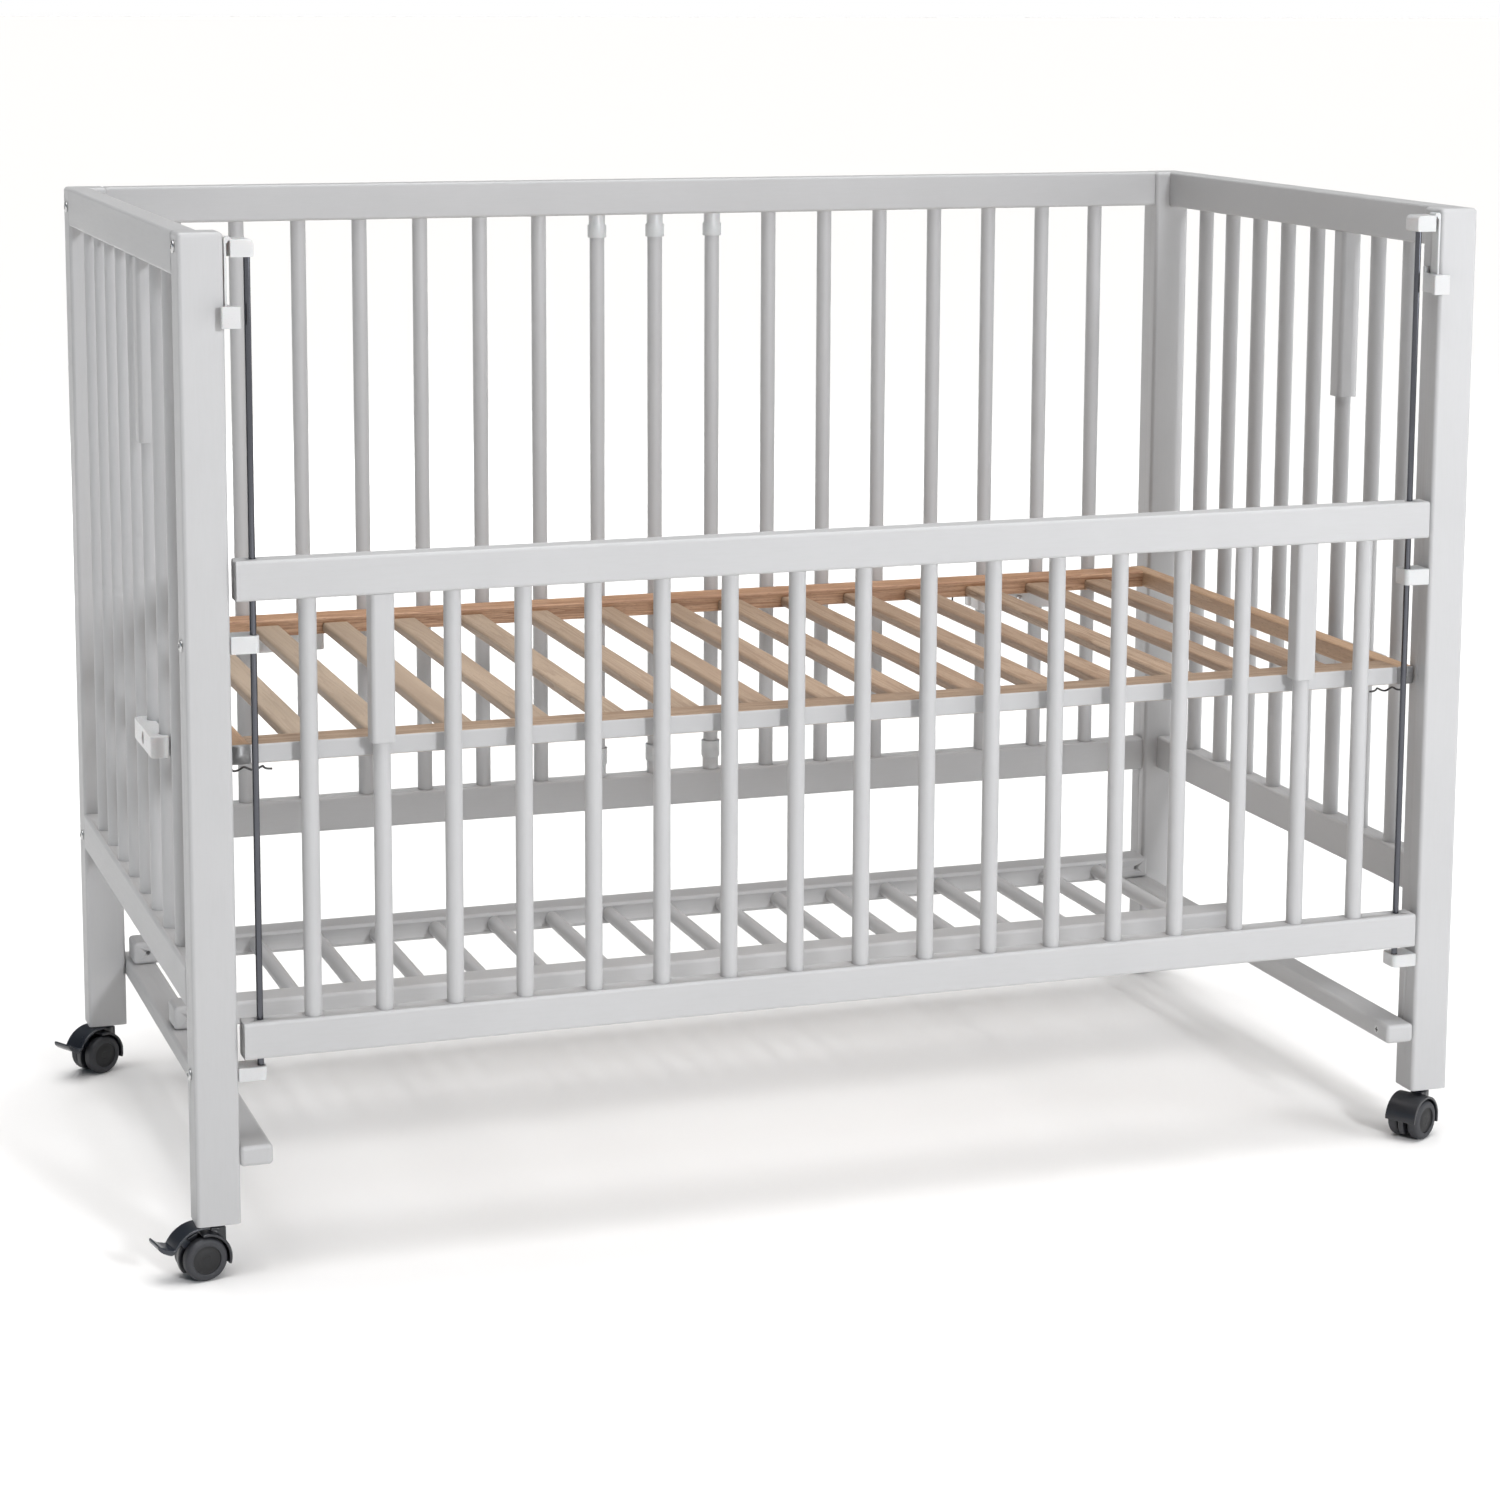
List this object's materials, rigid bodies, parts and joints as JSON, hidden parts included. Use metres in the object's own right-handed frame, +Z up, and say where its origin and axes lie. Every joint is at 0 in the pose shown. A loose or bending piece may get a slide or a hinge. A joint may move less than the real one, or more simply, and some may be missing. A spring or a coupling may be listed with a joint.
{
  "type": "baby crib",
  "caption": "White wooden baby crib with barred sides, a front side that slides down on steel rods, a height-adjustable slatted base, storage shelf and casters.",
  "frame": {"origin": "centre of the crib's footprint on the floor, with the front side lowered", "axes": "+X along the crib's length, with the brake casters at -X; the front side that lowers faces -Y; +Z up"},
  "size_m": [1.316, 0.6934, 0.941],
  "materials": {
    "white_lacquer": "satin white lacquer on beech",
    "base_wood": "matt natural wood, front face white",
    "slat_wood": "matt natural wood",
    "white_plastic": "moulded, satin",
    "rod_steel": "bright drawn",
    "zinc_steel": "zinc plated",
    "black_wire": "black coated wire",
    "black_plastic": "moulded, satin",
    "black_wheel": "moulded, matt"
  },
  "bodies": {
    "frame": {"post_front_left": "white_lacquer", "post_rear_left": "white_lacquer", "post_front_right": "white_lacquer", "post_rear_right": "white_lacquer", "left_end_bars": "white_lacquer", "left_end_top_rail": "white_lacquer", "left_end_bottom_rail": "white_lacquer", "right_end_bars": "white_lacquer", "right_end_top_rail": "white_lacquer", "right_end_bottom_rail": "white_lacquer", "end_bar_blocks": "white_lacquer", "rear_bars": "white_lacquer", "rear_top_rail": "white_lacquer", "rear_bottom_rail": "white_lacquer", "left_stretcher": "white_lacquer", "right_stretcher": "white_lacquer", "shelf_dowels": "white_lacquer", "shelf_front_rail": "white_lacquer", "shelf_rear_rail": "white_lacquer", "rod_top_brackets": "white_plastic", "rod_lower_brackets": "white_plastic", "left_guide_rod": "rod_steel", "right_guide_rod": "rod_steel", "frame_bolts": "zinc_steel", "frame_screws": "zinc_steel", "caster_stems": "black_plastic"},
    "drop_side": {"drop_bars": "white_lacquer", "drop_bar_blocks": "white_lacquer", "drop_top_rail": "white_lacquer", "drop_bottom_rail": "white_lacquer", "drop_rail_bushes": "white_plastic"},
    "catch_left": {"left_catch": "white_plastic"},
    "catch_right": {"right_catch": "white_plastic"},
    "base": {"base_front_rail": "base_wood", "base_rear_rail": "base_wood", "base_left_rail": "base_wood", "base_right_rail": "base_wood", "base_slats": "slat_wood", "base_screws": "zinc_steel", "clamp_outer_jaws": "white_plastic", "clamp_inner_jaws": "white_plastic", "clamp_bolts": "zinc_steel", "base_wire_hooks": "black_wire"},
    "slip_bar_1": {"slip_bar_1": "white_lacquer", "slip_bar_1_caps": "white_plastic"},
    "slip_bar_2": {"slip_bar_2": "white_lacquer", "slip_bar_2_caps": "white_plastic"},
    "slip_bar_3": {"slip_bar_3": "white_lacquer", "slip_bar_3_caps": "white_plastic"},
    "caster_front_left": {"caster_body_front_left": "black_plastic"},
    "wheels_front_left": {"caster_wheels_front_left": "black_wheel"},
    "caster_front_right": {"caster_body_front_right": "black_plastic"},
    "wheels_front_right": {"caster_wheels_front_right": "black_wheel"},
    "caster_rear_left": {"caster_body_rear_left": "black_plastic"},
    "wheels_rear_left": {"caster_wheels_rear_left": "black_wheel"},
    "caster_rear_right": {"caster_body_rear_right": "black_plastic"},
    "wheels_rear_right": {"caster_wheels_rear_right": "black_wheel"},
    "pedal_front_left": {"caster_pedal_front_left": "black_plastic"},
    "pedal_rear_left": {"caster_pedal_rear_left": "black_plastic"}
  },
  "joints": [
    {"name": "drop_side_slide", "type": "slide", "parent": "frame", "child": "drop_side", "axis": [0, 0, 1], "range_m": [0, 0.262]},
    {"name": "catch_left_hinge", "type": "hinge", "parent": "frame", "child": "catch_left", "pos_m": [-0.57578, -0.3225, 0.933], "axis": [0, -1, 0], "range_deg": [0, 2.5], "stiffness_Nm_per_rad": 0.3},
    {"name": "catch_right_hinge", "type": "hinge", "parent": "frame", "child": "catch_right", "pos_m": [0.60982, -0.3225, 0.933], "axis": [0, 1, 0], "range_deg": [0, 2.5], "stiffness_Nm_per_rad": 0.3},
    {"name": "base_height", "type": "slide", "parent": "frame", "child": "base", "axis": [0, 0, 1], "range_m": [-0.15, 0.08]},
    {"name": "slip_bar_1_lift", "type": "slide", "parent": "frame", "child": "slip_bar_1", "axis": [0, 0, 1], "range_m": [0, 0.0095], "stiffness_N_per_m": 300, "springref_m": -0.02},
    {"name": "slip_bar_2_lift", "type": "slide", "parent": "frame", "child": "slip_bar_2", "axis": [0, 0, 1], "range_m": [0, 0.0095], "stiffness_N_per_m": 300, "springref_m": -0.02},
    {"name": "slip_bar_3_lift", "type": "slide", "parent": "frame", "child": "slip_bar_3", "axis": [0, 0, 1], "range_m": [0, 0.0095], "stiffness_N_per_m": 300, "springref_m": -0.02},
    {"name": "swivel_front_left", "type": "hinge", "parent": "frame", "child": "caster_front_left", "pos_m": [-0.59798, -0.312, 0.04], "axis": [0, 0, 1], "continuous": true},
    {"name": "wheel_spin_front_left", "type": "hinge", "parent": "caster_front_left", "child": "wheels_front_left", "pos_m": [-0.61275, -0.3146, 0.02], "axis": [-0.1736, 0.9848, 0], "continuous": true},
    {"name": "brake_pedal_front_left", "type": "hinge", "parent": "caster_front_left", "child": "pedal_front_left", "pos_m": [-0.61275, -0.3146, 0.02], "axis": [0.1736, -0.9848, 0], "range_deg": [0, 12]},
    {"name": "swivel_front_right", "type": "hinge", "parent": "frame", "child": "caster_front_right", "pos_m": [0.63202, -0.312, 0.04], "axis": [0, 0, 1], "continuous": true},
    {"name": "wheel_spin_front_right", "type": "hinge", "parent": "caster_front_right", "child": "wheels_front_right", "pos_m": [0.61903, -0.3195, 0.02], "axis": [-0.5, 0.866, 0], "continuous": true},
    {"name": "swivel_rear_left", "type": "hinge", "parent": "frame", "child": "caster_rear_left", "pos_m": [-0.59798, 0.327, 0.04], "axis": [0, 0, 1], "continuous": true},
    {"name": "wheel_spin_rear_left", "type": "hinge", "parent": "caster_rear_left", "child": "wheels_rear_left", "pos_m": [-0.61097, 0.3195, 0.02], "axis": [-0.5, 0.866, 0], "continuous": true},
    {"name": "brake_pedal_rear_left", "type": "hinge", "parent": "caster_rear_left", "child": "pedal_rear_left", "pos_m": [-0.61097, 0.3195, 0.02], "axis": [0.5, -0.866, 0], "range_deg": [0, 12]},
    {"name": "swivel_rear_right", "type": "hinge", "parent": "frame", "child": "caster_rear_right", "pos_m": [0.63202, 0.327, 0.04], "axis": [0, 0, 1], "continuous": true},
    {"name": "wheel_spin_rear_right", "type": "hinge", "parent": "caster_rear_right", "child": "wheels_rear_right", "pos_m": [0.61903, 0.3195, 0.02], "axis": [-0.5, 0.866, 0], "continuous": true}
  ]
}
